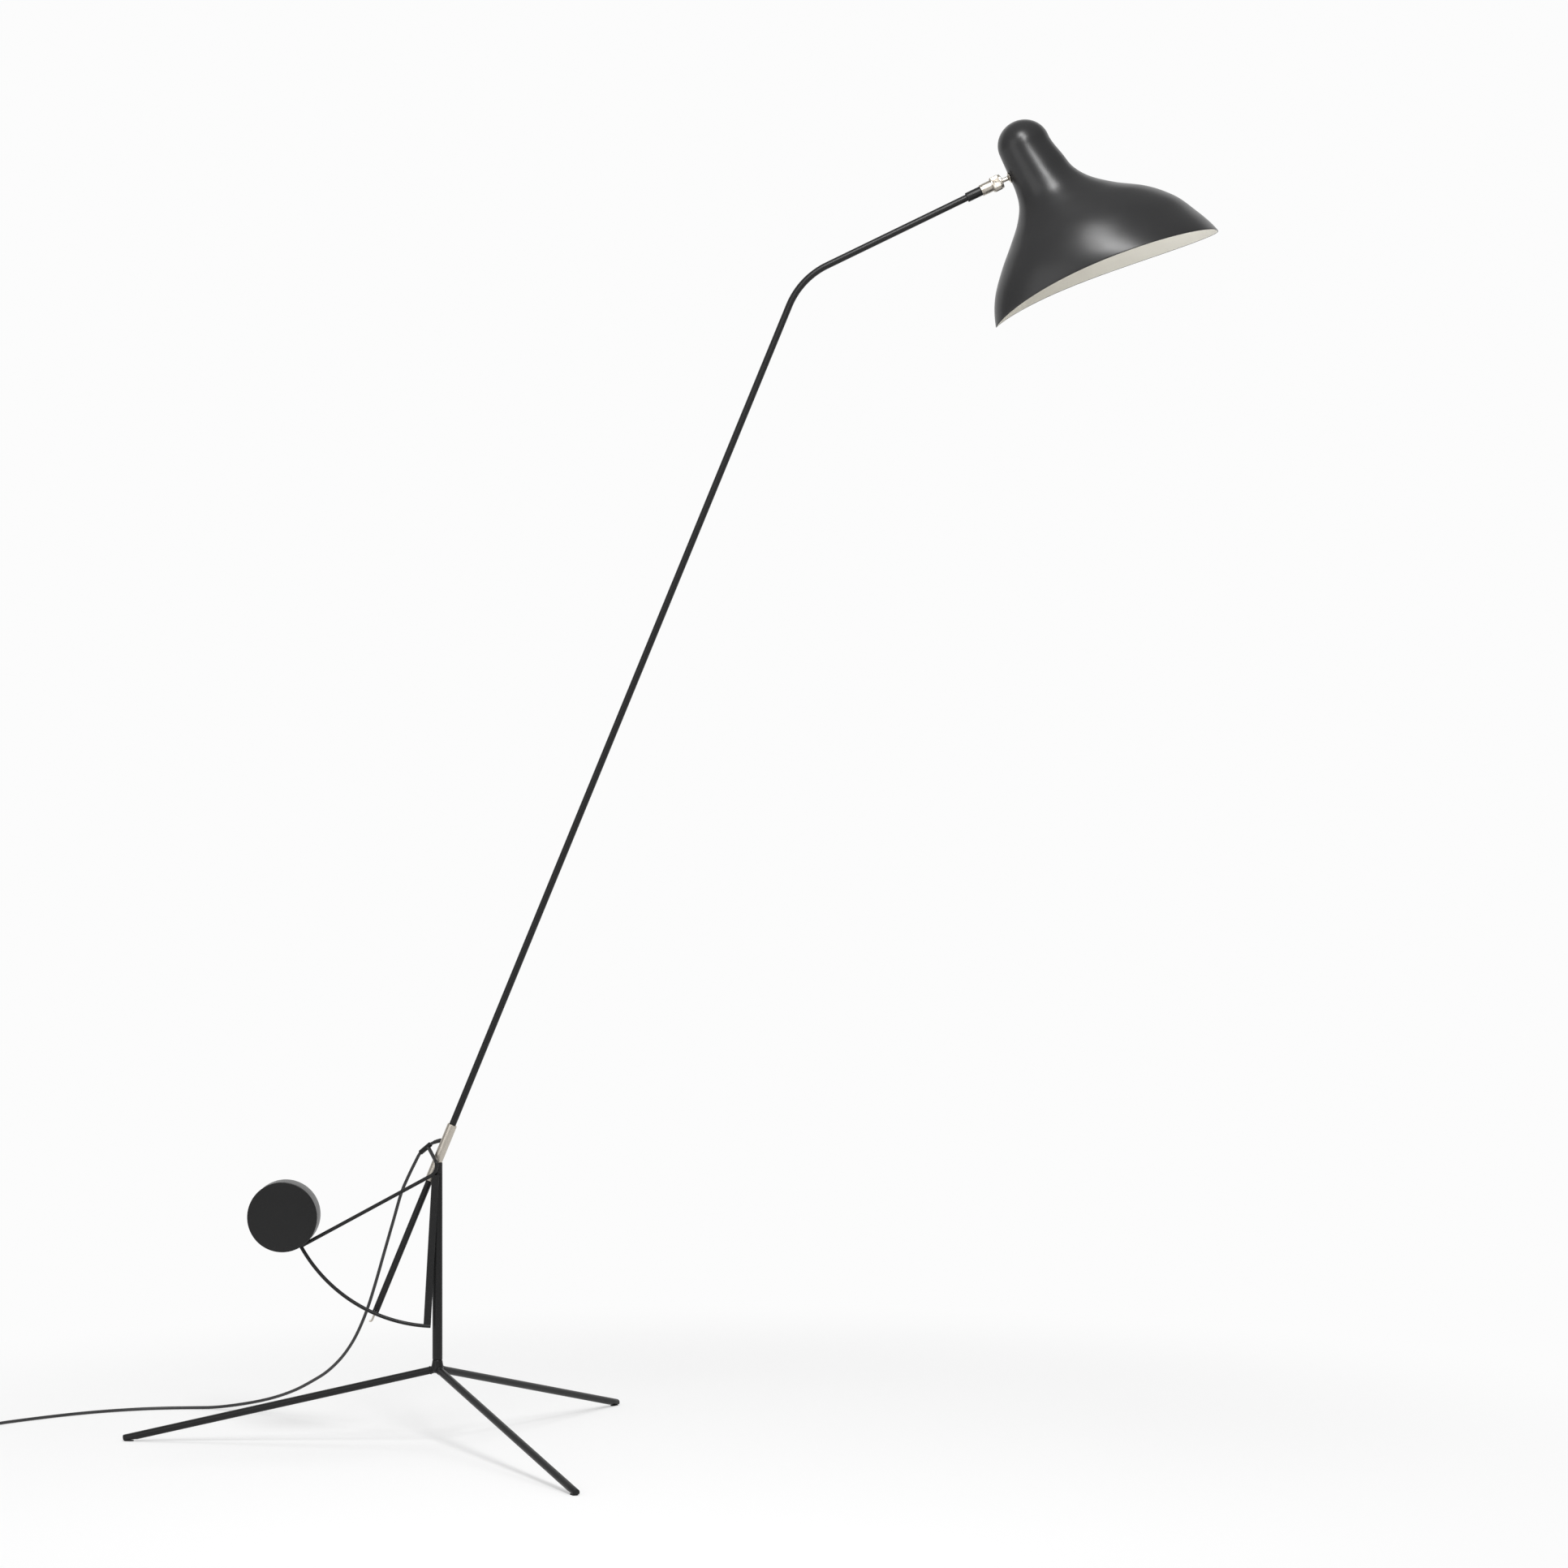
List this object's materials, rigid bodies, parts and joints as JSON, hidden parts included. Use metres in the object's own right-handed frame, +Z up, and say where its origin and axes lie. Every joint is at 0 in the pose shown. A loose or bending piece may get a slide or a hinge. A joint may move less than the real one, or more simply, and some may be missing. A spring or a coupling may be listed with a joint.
{
  "type": "adjustable arm floor lamp",
  "caption": "Floor lamp with a rod tripod, a short post, a counterweighted tilting frame, a long bent arm and a hooded shade on a ball joint.",
  "frame": {"origin": "bottom centre of the lamp's box without its supply cord, on the floor", "axes": "+X is the way the arm leans, from the counterweight towards the shade; +Y is from the tilting frame's rods towards the arm and the outlet of the cord; +Z is up"},
  "size_m": [1.7009, 0.7242, 1.7196],
  "materials": {
    "black_paint": "satin black powder coat",
    "shade_paint": "aluminium, satin charcoal paint outside and cream inside",
    "satin_nickel": "warm satin nickel plate",
    "black_rubber": "matt black rubber",
    "white_nylon": "natural nylon",
    "porcelain": "white glazed ceramic",
    "opal_glass": "opal white glass",
    "cord_sheath": "black flexible sheath"
  },
  "bodies": {
    "base": {"leg_left": "black_paint", "leg_rear": "black_paint", "leg_front": "black_paint", "foot_pad_left": "black_rubber", "foot_pad_rear": "black_rubber", "foot_pad_front": "black_rubber", "hub": "black_paint", "post": "black_paint", "pivot_head": "black_paint", "cord_run": "cord_sheath", "cord_coil": "cord_sheath", "cord_tie": "black_rubber", "cord_tail": "cord_sheath", "plug_body": "black_rubber", "plug_pin_left": "satin_nickel", "plug_pin_right": "satin_nickel"},
    "balance_frame": {"pivot_pin": "black_paint", "bent_rod": "black_paint", "arc_rod": "black_paint", "fin": "black_paint", "counterweight_disc": "black_paint", "disc_grub_screw": "satin_nickel", "cable_guide": "black_paint", "arm_sleeve": "satin_nickel", "retaining_screw": "satin_nickel", "lower_tube": "black_paint", "lower_plug": "satin_nickel", "lower_pin": "black_paint", "thrust_washer": "white_nylon", "cord_relief": "black_rubber", "cord_lead": "cord_sheath"},
    "arm": {"arm_tube": "black_paint", "arm_cable": "cord_sheath", "arm_ferrule": "black_paint"},
    "socket": {"socket_body": "satin_nickel", "ball_seat": "white_nylon"},
    "clamp_ring": {"clamp_ring": "satin_nickel"},
    "ball": {"ball_stud": "satin_nickel"},
    "shade_head": {"shade": "shade_paint", "shade_washer": "satin_nickel", "holder_bracket": "satin_nickel", "stud_nut": "satin_nickel", "lampholder": "porcelain", "bulb": "opal_glass", "head_leads": "cord_sheath"}
  },
  "joints": [
    {"name": "frame_tilt", "type": "hinge", "parent": "base", "child": "balance_frame", "pos_m": [-0.29702, 0.00555, 0.3609], "axis": [0, 1, 0], "range_deg": [-18, 35], "deforming": ["cord_lead", "cord_run"]},
    {"name": "arm_turn", "type": "hinge", "parent": "balance_frame", "child": "arm", "pos_m": [-0.30183, 0.0187, 0.36288], "axis": [0.3803, 0, 0.9249], "range_deg": [-60, 60]},
    {"name": "head_roll", "type": "hinge", "parent": "arm", "child": "socket", "pos_m": [0.42725, 0.0187, 1.63775], "axis": [0.8999, 0, 0.4362], "range_deg": [-170, 170]},
    {"name": "ring_turn", "type": "hinge", "parent": "socket", "child": "clamp_ring", "pos_m": [0.42725, 0.0187, 1.63775], "axis": [0.8999, 0, 0.4362], "range_deg": [-45, 45]},
    {"name": "head_nod", "type": "hinge", "parent": "socket", "child": "ball", "pos_m": [0.42725, 0.0187, 1.63775], "axis": [0, 1, 0], "range_deg": [-26, 22]},
    {"name": "shade_spin", "type": "hinge", "parent": "ball", "child": "shade_head", "pos_m": [0.42725, 0.0187, 1.63775], "axis": [0.9184, 0, 0.3955], "range_deg": [-170, 170]}
  ]
}
